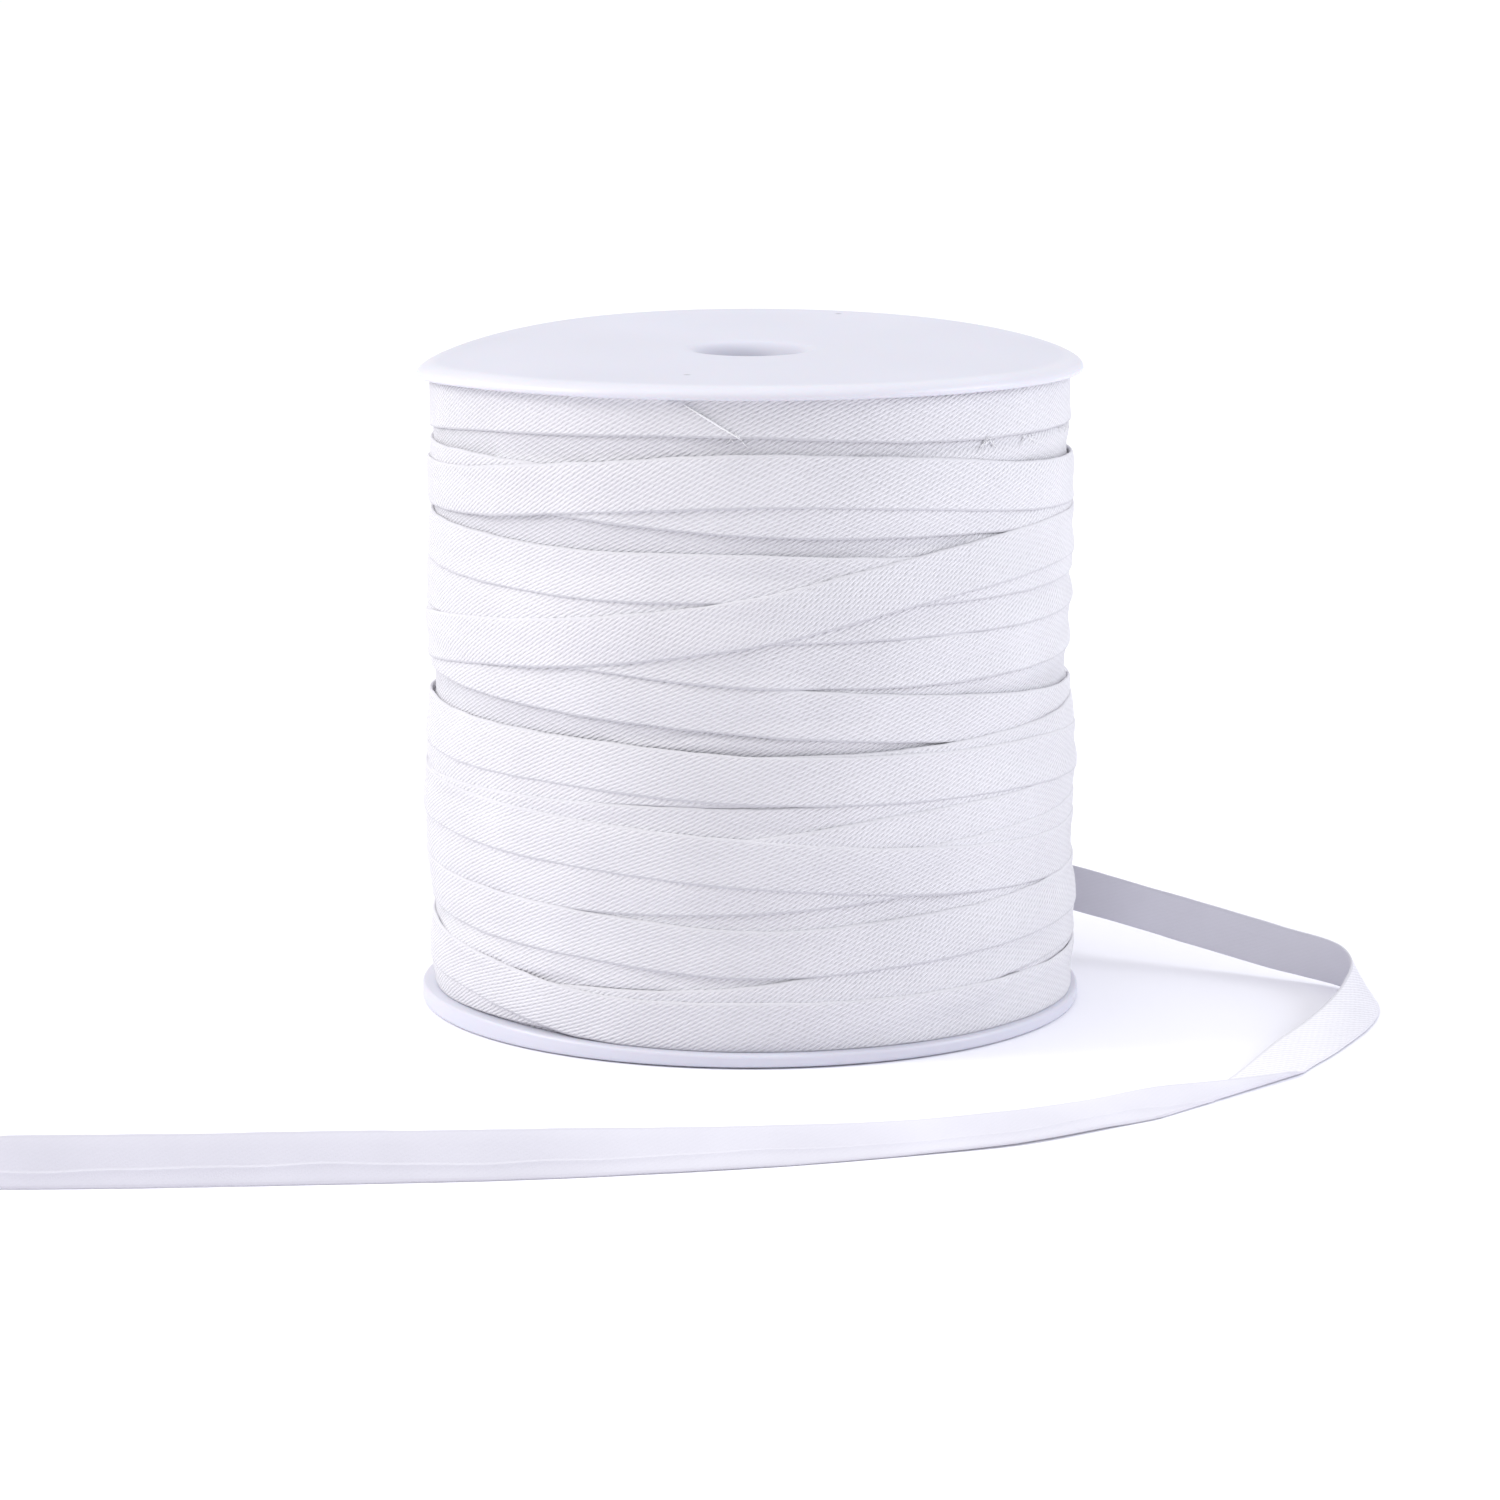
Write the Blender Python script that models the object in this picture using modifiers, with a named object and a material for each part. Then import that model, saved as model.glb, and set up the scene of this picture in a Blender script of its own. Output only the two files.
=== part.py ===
"""A roll of folded bias tape on a white plastic spool, with its loose end lying on the surface.

The spool's axis is +Z, and the origin is the centre of its base. Azimuths are in degrees about that
axis, counted from the front, -Y, towards +X. Tables are in millimetres and degrees.
"""
import math
from typing import NamedTuple

import bmesh
import bpy
import numpy as np
from mathutils import Vector

MM = 0.001

# Spool
SEGMENTS = 60
HEIGHT = 87.0
FLANGE_R = 44.0
FLANGE_THICK = 1.8
RIM_ROUND = 0.6
HUB_R = 11.0
BORE_R = 5.5
LIP_R = 10.5
LIP_DEEP = 5.0
ROUND_STEPS = 3
LIP_STEPS = 5

# Tape
TAPE_WIDE = 6.35
GAP = 0.3

# Winding: the radius under the last turns, and what each of them adds
UNDER_R = 41.6
TURN_LIFT = 0.65
TOP_R = 43.4
ROWS = 52

# Loose end: where it leaves the roll, and the fold that it lies in, on a line slanting across it
LEAVES_AT = 149.0
LEAVES_Z = 10.7
RIBBON_THICK = 1.0
FLOOR_CLEAR = 0.02
FOLD_HEADING = -131.0
FOLD_SKEW = 12.6
FOLD_TILT = 17.5
BEND_R = 0.65
BEND_STEPS = 8
FAN = 6.0
FAN_STEPS = 6
STEPS_BEFORE = 24
STEPS_AFTER = 30
STEPS_ACROSS = 2

WHITE_PLASTIC = (0.86, 0.86, 0.88, 1.0)
WHITE_COTTON = (0.90, 0.90, 0.93, 1.0)


class Turn(NamedTuple):
    """The height of a turn's middle line at seven azimuths, from the right round the front to the left."""

    right: float
    right_60: float
    right_30: float
    front: float
    left_30: float
    left_60: float
    left: float


TURN_AZIMUTHS = (90.0, 60.0, 30.0, 0.0, -30.0, -60.0, -90.0)

# The last turns of the tape, in the order in which they were wound, each over the ones before it.
# The tape runs from right to left at the front, and round the back to the start of the next turn.
TURNS = (
    Turn(40.5, 41.8, 44.1, 46.0, 47.5, 48.4, 49.0),
    Turn(51.3, 51.3, 51.4, 52.2, 53.6, 54.4, 54.8),
    Turn(57.4, 57.3, 57.7, 57.7, 57.6, 57.3, 57.0),
    Turn(69.0, 69.6, 70.5, 71.4, 72.8, 73.2, 73.0),
    Turn(81.3, 81.6, 81.7, 81.7, 81.7, 81.6, 81.2),
    Turn(70.5, 71.8, 74.1, 75.0, 73.6, 71.3, 70.0),
    Turn(61.4, 61.5, 61.8, 62.9, 62.7, 63.1, 63.2),
    Turn(63.7, 63.8, 61.9, 57.4, 54.1, 51.8, 49.4),
    Turn(38.4, 37.8, 37.2, 37.0, 36.4, 35.0, 33.6),
    Turn(31.4, 31.2, 30.9, 30.5, 30.4, 29.8, 29.2),
    Turn(29.6, 29.5, 29.0, 26.6, 25.6, 25.4, 25.0),
    Turn(25.4, 25.2, 24.4, 23.0, 22.4, 23.0, 23.2),
    Turn(22.4, 22.8, 24.4, 26.4, 28.0, 28.9, 29.4),
    Turn(34.4, 35.8, 36.5, 37.2, 38.4, 38.6, 38.6),
    Turn(12.6, 12.2, 10.4, 7.4, 6.1, 5.7, 5.6),
    Turn(5.4, 5.4, 5.4, 5.4, 5.7, 8.1, 9.2),
    Turn(16.6, 16.2, 15.4, 14.6, 16.1, 16.9, 17.4),
)


class Station(NamedTuple):
    """A point of the tape's lower edge, and how far the tape stands up from the surface there."""

    x: float
    y: float
    lift: float
    stands: float


# From the roll to the fold, then from the fold to the cut end.
BEFORE_FOLD = (
    Station(40.5, 26.4, 5.4, 90.0),
    Station(60.0, 14.6, 2.6, 90.0),
    Station(72.0, 7.2, 0.9, 88.0),
    Station(79.6, 1.2, 0.2, 80.0),
    Station(83.2, -7.2, 0.1, 58.0),
    Station(82.4, -15.6, 0.1, 43.0),
    Station(80.2, -22.6, 0.3, 33.0),
    Station(77.4, -29.6, 0.5, 26.0),
    Station(74.4, -36.6, 0.4, 21.0),
)
FOLD_START = Station(70.8, -44.4, 0.1, FOLD_TILT)
AFTER_FOLD = (
    Station(33.6, -81.0, 0.2, 22.0),
    Station(18.0, -87.2, 0.0, 27.0),
    Station(0.6, -92.4, 0.0, 37.0),
    Station(-14.5, -95.6, 0.0, 47.0),
    Station(-29.6, -98.0, 0.0, 57.0),
    Station(-50.9, -99.8, 0.0, 66.0),
    Station(-73.3, -101.4, 0.0, 72.0),
    Station(-88.3, -101.9, 0.0, 75.0),
    Station(-100.0, -102.1, 0.0, 76.0),
)


def clear_scene():
    for obj in list(bpy.data.objects):
        bpy.data.objects.remove(obj, do_unlink=True)


def material(name, colour, roughness):
    made = bpy.data.materials.new(name)
    made.use_nodes = True
    shader = made.node_tree.nodes["Principled BSDF"]
    shader.inputs["Base Color"].default_value = colour
    shader.inputs["Roughness"].default_value = roughness
    shader.inputs["Metallic"].default_value = 0.0
    return made


def add_object(name, mesh, collection, finish):
    made = bpy.data.objects.new(name, mesh)
    mesh.materials.append(finish)
    collection.objects.link(made)
    return made


def turned(name, profile, collection, finish):
    """A closed profile of (radius, height) turned about +Z. It runs down its outer side first."""
    mesh = bpy.data.meshes.new(name)
    corners = [(radius * MM, 0.0, height * MM) for radius, height in profile]
    edges = [(i, (i + 1) % len(corners)) for i in range(len(corners))]
    mesh.from_pydata(corners, edges, [])
    made = add_object(name, mesh, collection, finish)
    screw = made.modifiers.new("turn", "SCREW")
    screw.steps = SEGMENTS
    screw.render_steps = SEGMENTS
    screw.use_merge_vertices = True
    screw.merge_threshold = 0.00001
    screw.use_smooth_shade = True
    return made


def arc(centre, radii, start, end, steps):
    """Points along an ellipse's arc about centre, in the profile's plane."""
    angles = np.radians(np.linspace(start, end, steps + 1))
    return [(centre[0] + radii[0] * math.cos(a), centre[1] + radii[1] * math.sin(a)) for a in angles]


def spool(collection):
    """Both flanges, the hub and the through hole with its rounded lips, as one moulding."""
    rim = (RIM_ROUND, RIM_ROUND)
    rim_r = FLANGE_R - RIM_ROUND
    lip = (LIP_R - BORE_R, LIP_DEEP)
    low, high = FLANGE_THICK, HEIGHT - FLANGE_THICK
    profile = arc((rim_r, HEIGHT - RIM_ROUND), rim, 90, 0, ROUND_STEPS)
    profile += arc((rim_r, high + RIM_ROUND), rim, 0, -90, ROUND_STEPS)
    profile += [(HUB_R, high), (HUB_R, low)]
    profile += arc((rim_r, low - RIM_ROUND), rim, 90, 0, ROUND_STEPS)
    profile += arc((rim_r, RIM_ROUND), rim, 0, -90, ROUND_STEPS)
    profile += arc((LIP_R, LIP_DEEP), lip, -90, -180, LIP_STEPS)
    profile += arc((LIP_R, HEIGHT - LIP_DEEP), lip, 180, 90, LIP_STEPS)
    return turned("spool", profile, collection, material("white_plastic", WHITE_PLASTIC, 0.4))


def smooth(at, knots, values):
    """A cubic curve through values at rising knots, read at each place in at."""
    slopes = np.gradient(values, knots, axis=0)
    i = np.clip(np.searchsorted(knots, at, side="right") - 1, 0, len(knots) - 2)
    step = knots[i + 1] - knots[i]
    t = (at - knots[i]) / step
    if values.ndim > 1:
        step, t = step[:, None], t[:, None]
    return (
        (1 + 2 * t) * (1 - t) ** 2 * values[i]
        + t * (1 - t) ** 2 * step * slopes[i]
        + t * t * (3 - 2 * t) * values[i + 1]
        + t * t * (t - 1) * step * slopes[i + 1]
    )


def turn_heights(azimuths):
    """The height of each turn's middle at azimuths from -270 to 90, as an array of turns by azimuths."""
    knots = [360.0 * k - a for k in range(len(TURNS)) for a in TURN_AZIMUTHS]
    heights = [h for turn in TURNS for h in turn]
    knots.append(360.0 * len(TURNS) - LEAVES_AT)
    heights.append(LEAVES_Z)
    wound = 360.0 * np.arange(len(TURNS))[:, None] - azimuths[None, :]
    wound = np.minimum(wound, knots[-1])
    found = smooth(wound.ravel(), np.array(knots), np.array(heights))
    return found.reshape(wound.shape)


def winding_radii(azimuths, heights):
    """The winding's radius at each azimuth and height, with each turn laid over the ones before it."""
    radii = np.full((len(azimuths), len(heights)), UNDER_R)
    middles = turn_heights(azimuths)
    for k in range(len(TURNS)):
        for i, azimuth in enumerate(azimuths):
            if k == len(TURNS) - 1 and azimuth < LEAVES_AT - 360.0:
                continue
            under = np.abs(heights - middles[k, i]) <= TAPE_WIDE / 2
            carried = (radii[i, under] + radii[i, under].max()) / 2
            radii[i, under] = np.minimum(carried + TURN_LIFT, TOP_R)
    return radii


def winding(collection):
    """One ring of tape between the flanges, with its last turns raised on it."""
    heights = np.linspace(HEIGHT - FLANGE_THICK - GAP, FLANGE_THICK + GAP, ROWS + 1)
    inner = HUB_R + GAP
    profile = [(UNDER_R, z) for z in heights] + [(inner, heights[-1]), (inner, heights[0])]
    finish = material("white_cotton", WHITE_COTTON, 0.9)
    ring = turned("winding", profile, collection, finish)
    graph = bpy.context.evaluated_depsgraph_get()
    mesh = bpy.data.meshes.new_from_object(ring.evaluated_get(graph), depsgraph=graph)
    bpy.data.objects.remove(ring, do_unlink=True)

    step = 360.0 / SEGMENTS
    azimuths = 90.0 - step * np.arange(SEGMENTS)
    radii = winding_radii(azimuths, heights)
    for vertex in mesh.vertices:
        x, y, z = vertex.co
        if math.hypot(x, y) < (inner + UNDER_R) / 2 * MM:
            continue
        azimuth = math.degrees(math.atan2(x, -y))
        column = round((90.0 - azimuth) / step) % SEGMENTS
        row = int(np.argmin(np.abs(heights - z / MM)))
        scale = radii[column, row] * MM / math.hypot(x, y)
        vertex.co = (x * scale, y * scale, z)
    made = bpy.data.objects.new("winding", mesh)
    collection.objects.link(made)
    return made


def across(heading, stands):
    """The direction from the tape's lower edge to its upper one, leaning to the right of its heading."""
    flat = Vector((heading[1], -heading[0], 0.0)).normalized()
    return flat * math.cos(math.radians(stands)) + Vector((0, 0, math.sin(math.radians(stands))))


def lowest(stands):
    """How low the ribbon's middle may lie at its lower edge, for its thickness to clear the surface."""
    return RIBBON_THICK / 2 * math.cos(math.radians(stands)) + FLOOR_CLEAR


def rows_of(stations):
    """Each station as x, y, the height of the ribbon's middle at its lower edge, and its stand."""
    return [(at.x, at.y, at.lift + lowest(at.stands), at.stands) for at in stations]


def sections_along(rows, steps):
    """The tape's lower and upper edge at even steps along a smooth curve through the rows."""
    rows = np.array(rows)
    lengths = np.linalg.norm(np.diff(rows[:, :3], axis=0), axis=1)
    knots = np.concatenate([[0.0], np.cumsum(lengths)])
    path = smooth(np.linspace(0.0, knots[-1], steps + 1), knots, rows)
    made = []
    for (x, y, z, stands), heading in zip(path, np.gradient(path[:, :2], axis=0)):
        edge = Vector((x, y, max(z, lowest(stands))))
        made.append((edge, edge + across(heading, stands) * TAPE_WIDE))
    return made


def folded(along, wide):
    """Where a point of the flat tape lies once the tape is folded over the slanting line.

    along counts from the place where the lower edge meets the line, and wide from that edge.
    """
    skew = math.radians(FOLD_SKEW)
    heading = math.radians(FOLD_HEADING)
    line = Vector((math.cos(heading), math.sin(heading), 0.0))
    inward = across(line, FOLD_TILT)
    normal = inward.cross(line)
    start = Vector((FOLD_START.x, FOLD_START.y, FOLD_START.lift + RIBBON_THICK / 2))
    place = start + line * (along * math.cos(skew) + wide * math.sin(skew))
    beyond = along * math.sin(skew) - wide * math.cos(skew)
    if beyond <= 0:
        return place - inward * beyond
    bent = min(beyond / BEND_R, math.pi)
    place += normal * (BEND_R * (1 - math.cos(bent))) - inward * (BEND_R * math.sin(bent))
    return place + inward * max(beyond - math.pi * BEND_R, 0.0)


def fold_reach():
    """How far along the tape the fold's line runs, and the length of tape that goes round its bend."""
    skew = math.radians(FOLD_SKEW)
    return TAPE_WIDE / math.tan(skew), math.pi * BEND_R / math.sin(skew)


def fold_sections():
    """The tape's two edges through the fold, on lines that swing round to the fold's line and back."""
    reach, bend = fold_reach()
    beyond = reach + bend + FAN
    stages = (
        ((-FAN, -FAN), (0.0, reach), FAN_STEPS),
        ((0.0, reach), (bend, reach + bend), BEND_STEPS),
        ((bend, reach + bend), (beyond, beyond), FAN_STEPS),
    )
    made = [(folded(-FAN, 0.0), folded(-FAN, TAPE_WIDE))]
    for first, last, steps in stages:
        for share in np.linspace(0.0, 1.0, steps + 1)[1:]:
            lower, upper = (a + (b - a) * share for a, b in zip(first, last))
            made.append((folded(lower, 0.0), folded(upper, TAPE_WIDE)))
    return made


def loose_end(collection):
    """The tape from the roll, round its turn and its fold, to its cut end in front."""
    azimuth = math.radians(LEAVES_AT)
    radius = TOP_R + GAP + RIBBON_THICK / 2
    leaves = (radius * math.sin(azimuth), -radius * math.cos(azimuth), LEAVES_Z - TAPE_WIDE / 2, 90.0)
    beyond = sum(fold_reach()) + FAN
    before = [leaves] + rows_of(BEFORE_FOLD) + [(*folded(-FAN, 0.0), FOLD_TILT)]
    after = [(*folded(beyond, TAPE_WIDE), FOLD_TILT)] + rows_of(AFTER_FOLD)
    sections = sections_along(before, STEPS_BEFORE)[:-1] + fold_sections()
    sections += [(upper, lower) for lower, upper in sections_along(after, STEPS_AFTER)[1:]]

    shape = bmesh.new()
    steps = len(sections) - 1
    bmesh.ops.create_grid(shape, x_segments=steps, y_segments=STEPS_ACROSS, size=1.0)
    for vertex in shape.verts:
        near, far = sections[round((vertex.co.x + 1) / 2 * steps)]
        vertex.co = near.lerp(far, (vertex.co.y + 1) / 2) * MM
    mesh = bpy.data.meshes.new("loose_end")
    shape.to_mesh(mesh)
    shape.free()
    mesh.shade_smooth()
    made = add_object("loose_end", mesh, collection, bpy.data.materials["white_cotton"])
    thick = made.modifiers.new("thickness", "SOLIDIFY")
    thick.thickness = RIBBON_THICK * MM
    thick.offset = 0.0
    return made


def main():
    clear_scene()
    collection = bpy.data.collections.new("roll_of_bias_tape")
    bpy.context.scene.collection.children.link(collection)
    spool(collection)
    winding(collection)
    loose_end(collection)


main()
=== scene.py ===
"""The looks of the roll of bias tape: its spool, the wound tape and the loose end, on a white table.

Sizes here are in metres, and tables are in millimetres and degrees. Azimuths are about the spool's
axis, counted from the front, -Y, towards +X. The tape runs towards falling azimuths.
"""
import math
from typing import NamedTuple

import bpy
import numpy as np
from mathutils import Euler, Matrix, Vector


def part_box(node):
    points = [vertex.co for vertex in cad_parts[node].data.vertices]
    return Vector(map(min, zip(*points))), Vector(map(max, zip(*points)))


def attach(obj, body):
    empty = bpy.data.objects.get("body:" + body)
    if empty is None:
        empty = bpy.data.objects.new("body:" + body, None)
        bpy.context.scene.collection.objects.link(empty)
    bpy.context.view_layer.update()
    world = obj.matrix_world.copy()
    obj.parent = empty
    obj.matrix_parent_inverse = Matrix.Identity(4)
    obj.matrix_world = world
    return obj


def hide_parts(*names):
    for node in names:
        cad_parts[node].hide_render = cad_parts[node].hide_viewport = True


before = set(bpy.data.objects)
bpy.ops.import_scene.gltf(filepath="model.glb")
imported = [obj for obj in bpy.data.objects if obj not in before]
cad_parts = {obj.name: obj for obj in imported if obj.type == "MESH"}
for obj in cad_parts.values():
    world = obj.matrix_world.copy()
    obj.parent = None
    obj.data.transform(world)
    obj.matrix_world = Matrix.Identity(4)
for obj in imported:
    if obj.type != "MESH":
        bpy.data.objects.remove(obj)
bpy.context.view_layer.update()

MM = 0.001
BODY = "root"

# The spool's sizes, from its node
SPOOL_LOW, SPOOL_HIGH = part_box("spool")
HEIGHT = SPOOL_HIGH.z / MM
FLANGE_R = SPOOL_HIGH.x / MM
FLANGE_THICK = 1.8
RIM_ROUND = 0.6
HUB_R = 11.0
BORE_R = 5.5
LIP_R = 9.0
LIP_DEEP = 3.6
SHOULDER_WIDE = 2.8
EDGE_THIN = 0.45
FOOT_ROUND = 0.5
FOOT_RISE = 0.18
RIM_RISE = 0.8

# Tape
TAPE_WIDE = 6.35
TAPE_THICK = 0.72
LOOSE_THICK = 0.3
WRONG_SIDE = "wrong_side"

# Winding
GAP = 0.3
UNDER_R = 41.15
UNDER_DIP = 0.35
TURN_LIFT = 0.68
TOP_R = 43.75
PRESSED_R = 41.2
PRESSED_SHARE = 0.7
FLANGE_CLEAR = 0.02
SWELL = 0.9
SWELL_AT = 85.0
SWELL_WIDE = 55.0
SWELL_HIGH = 14.0
# Radii between which painted shade on the recessed turns fades out
RECESS_R = 41.1
OPEN_R = 42.5

# Loose end
LEAVES_AT = 149.0
LEAVES_Z = 10.7
FLOOR_CLEAR = 0.02
FOLD_HEADING = -131.0
FOLD_SKEW = 12.6
FOLD_TILT = 17.5
BEND_R = 0.35
FAN = 6.0
BOW = 1.3
BOW_AT = 14.0
BOW_WIDE = 12.0
LET_DOWN = 1.0
LET_DOWN_FROM = 24.0
LET_DOWN_OVER = 16.0


class Sag(NamedTuple):
    """Where the top flange's rim hangs below level, how far round, and how deep."""

    azimuth: float
    spread: float
    depth: float


SAGS = (Sag(-100.0, 36.0, 2.0), Sag(100.0, 36.0, 1.0), Sag(0.0, 45.0, -0.55), Sag(180.0, 55.0, -0.4))

# Small pits in the top flange's face, in x and y, painted as dark spots of shade
PITS = ((12.2, 36.5), (-8.0, -29.0))


class Turn(NamedTuple):
    """The height of a turn's middle line at seven azimuths, from the right round the front to the left."""

    right: float
    right_60: float
    right_30: float
    front: float
    left_30: float
    left_60: float
    left: float


TURN_AZIMUTHS = (90.0, 60.0, 30.0, 0.0, -30.0, -60.0, -90.0)

# The last turns, in the order in which they were wound, each over the ones before it.
TURNS = (
    Turn(40.5, 41.8, 44.1, 46.0, 47.5, 48.4, 49.0),
    Turn(51.3, 51.3, 51.4, 52.2, 53.6, 54.4, 54.8),
    Turn(57.4, 57.3, 57.7, 57.7, 57.6, 57.3, 57.0),
    Turn(69.0, 69.6, 70.5, 71.4, 72.8, 73.2, 73.0),
    Turn(81.3, 81.7, 82.1, 83.2, 83.0, 82.2, 80.9),
    Turn(70.5, 71.8, 74.1, 75.0, 73.6, 71.3, 70.0),
    Turn(61.4, 61.5, 61.8, 62.9, 62.7, 63.1, 63.2),
    Turn(63.7, 63.8, 61.9, 57.4, 54.1, 51.8, 49.4),
    Turn(38.4, 37.8, 37.2, 37.0, 36.4, 35.0, 33.6),
    Turn(31.4, 31.2, 30.9, 30.5, 30.4, 29.8, 29.2),
    Turn(29.6, 29.5, 29.0, 26.6, 25.6, 25.4, 25.0),
    Turn(25.4, 25.2, 24.4, 23.0, 22.4, 23.0, 23.2),
    Turn(22.4, 22.8, 24.4, 26.4, 28.0, 28.9, 29.4),
    Turn(34.4, 35.8, 36.5, 37.2, 38.4, 38.6, 38.6),
    Turn(12.6, 12.2, 10.4, 7.4, 6.0, 5.4, 5.3),
    Turn(5.3, 5.3, 5.3, 5.3, 5.5, 8.1, 9.2),
    Turn(16.6, 16.2, 15.4, 14.6, 16.1, 16.9, 17.4),
)


# The slanting seam on the turn below the top flange
SEAM_TURN = 4
SEAM_AZIMUTH = -11.2
SEAM_TOP = 1.0
SEAM_SLANT = 2.46
SEAM_RISE = 0.4


class Fray(NamedTuple):
    """A tuft of threads: its middle's azimuth and height, its spread in degrees, count and longest thread."""

    azimuth: float
    height: float
    spread: float
    count: int
    length: float


FRAYS = (
    Fray(-2.6, 80.6, 1.3, 5, 1.5),
    Fray(46.5, 78.9, 1.9, 7, 1.8),
    Fray(58.0, 78.4, 2.4, 5, 1.2),
    Fray(76.0, 78.3, 3.5, 5, 1.4),
)
FRAY_SEED = 7
THREAD_SIDES = 6


class Station(NamedTuple):
    """A point of the tape's lower edge, and how far the tape stands up from the surface there."""

    x: float
    y: float
    lift: float
    stands: float


# From the roll to the fold, then from the fold to the cut end.
BEFORE_FOLD = (
    Station(40.5, 26.4, 6.3, 90.0),
    Station(60.0, 14.6, 3.1, 90.0),
    Station(72.0, 7.2, 1.0, 88.0),
    Station(79.6, 1.2, 0.2, 80.0),
    Station(83.4, -7.2, 0.1, 58.0),
    Station(82.9, -15.6, 0.1, 43.0),
    Station(81.0, -22.6, 0.1, 33.0),
    Station(78.2, -29.6, 0.1, 25.0),
)
FOLD_START = Station(70.8, -44.4, 0.1, FOLD_TILT)
AFTER_FOLD = (
    Station(33.6, -81.0, 0.2, 22.0),
    Station(18.0, -87.2, 0.0, 27.0),
    Station(0.6, -92.4, 0.0, 37.0),
    Station(-14.5, -95.6, 0.0, 47.0),
    Station(-29.6, -98.0, 0.0, 57.0),
    Station(-50.9, -99.8, 0.0, 66.0),
    Station(-73.3, -101.4, 0.0, 72.0),
    Station(-88.3, -101.9, 0.0, 75.0),
    Station(-100.0, -102.1, 0.0, 76.0),
)


SKY_LOW = 0.72
SKY_HIGH = 0.92


def look_from_the_photo():
    """The camera, at the photo's angle and distance."""
    data = bpy.data.cameras.new("camera")
    data.sensor_width = 36.0
    data.lens = 36.0 * 5900.0 / 1500.0
    data.clip_start = 0.05
    camera = bpy.data.objects.new("camera", data)
    camera.location = (0.0, -0.774, 0.183)
    camera.rotation_euler = Euler((math.radians(90.0 - 10.97), 0.0, 0.0))
    bpy.context.scene.collection.objects.link(camera)
    bpy.context.scene.camera = camera


def area_light(name, place, target, size, power, colour):
    data = bpy.data.lights.new(name, "AREA")
    data.shape = "RECTANGLE"
    data.size, data.size_y = size
    data.energy = power
    data.color = colour
    light = bpy.data.objects.new(name, data)
    light.location = place
    light.rotation_euler = (Vector(target) - Vector(place)).to_track_quat("-Z", "Y").to_euler()
    bpy.context.scene.collection.objects.link(light)


def studio():
    """A white table under soft light, the key from the upper left."""
    world = bpy.data.worlds.new("studio")
    world.use_nodes = True
    shader = world.node_tree.nodes["Background"]
    split = world.node_tree.nodes.new("ShaderNodeSeparateXYZ")
    place = world.node_tree.nodes.new("ShaderNodeTexCoord")
    height = world.node_tree.nodes.new("ShaderNodeMapRange")
    height.inputs["From Min"].default_value = 0.0
    height.inputs["From Max"].default_value = 1.0
    height.inputs["To Min"].default_value = SKY_LOW
    height.inputs["To Max"].default_value = SKY_HIGH
    world.node_tree.links.new(place.outputs["Generated"], split.inputs[0])
    world.node_tree.links.new(split.outputs["Z"], height.inputs["Value"])
    world.node_tree.links.new(height.outputs["Result"], shader.inputs["Strength"])
    shader.inputs["Color"].default_value = (1.0, 1.0, 1.015, 1.0)
    bpy.context.scene.world = world
    bpy.context.scene.view_settings.view_transform = "Standard"
    sun = bpy.data.lights.new("overhead", "SUN")
    sun.energy = 0.6
    sun.angle = math.radians(50.0)
    overhead = bpy.data.objects.new("overhead", sun)
    overhead.rotation_euler = Vector((0.5, 0.0, -1.0)).to_track_quat("-Z", "Y").to_euler()
    bpy.context.scene.collection.objects.link(overhead)
    area_light("key", (-0.75, -0.12, 0.5), (0, 0, 0.04), (0.3, 0.3), 3.6, (1.0, 0.99, 0.98))
    area_light("fill", (0.85, -0.14, 0.42), (0, 0, 0.04), (0.5, 0.5), 3.8, (0.9, 0.93, 1.0))
    mesh = bpy.data.meshes.new("table")
    wide = 9.0
    corners = [(-wide, -wide, 0), (wide, -wide, 0), (wide, wide, 0), (-wide, wide, 0)]
    mesh.from_pydata([(x, y, -0.00002) for x, y, _ in corners], [], [(0, 1, 2, 3)])
    table = bpy.data.objects.new("table", mesh)
    mesh.materials.append(table_white())
    bpy.context.scene.collection.objects.link(table)


def table_white():
    """Plain matt white, with painted shade that makes it darker and bluer near the roll."""
    made = Nodes("table_white")
    place = made.add("ShaderNodeTexCoord").outputs["Object"]
    away = made.add("ShaderNodeVectorMath", operation="LENGTH")
    made.put(place, away.inputs[0])
    # painted shade: the table is darker and bluer within 0.15 m of the roll, fading to plain white by 0.6 m
    far = made.fade(away.outputs["Value"], 0.15, 0.6)
    made.put(made.ramp(far, (0.915, 0.91, 0.96, 1), (1, 1, 1, 1)), made.shader.inputs["Base Color"])
    made.shader.inputs["Roughness"].default_value = 0.9
    made.shader.inputs["Specular IOR Level"].default_value = 0.1
    return made.material


def smooth(at, knots, values):
    """A cubic curve through values at rising knots, read at each place in at."""
    slopes = np.gradient(values, knots, axis=0)
    i = np.clip(np.searchsorted(knots, at, side="right") - 1, 0, len(knots) - 2)
    step = knots[i + 1] - knots[i]
    t = (at - knots[i]) / step
    if values.ndim > 1:
        step, t = step[:, None], t[:, None]
    return (
        (1 + 2 * t) * (1 - t) ** 2 * values[i]
        + t * (1 - t) ** 2 * step * slopes[i]
        + t * t * (3 - 2 * t) * values[i + 1]
        + t * t * (t - 1) * step * slopes[i + 1]
    )


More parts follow.
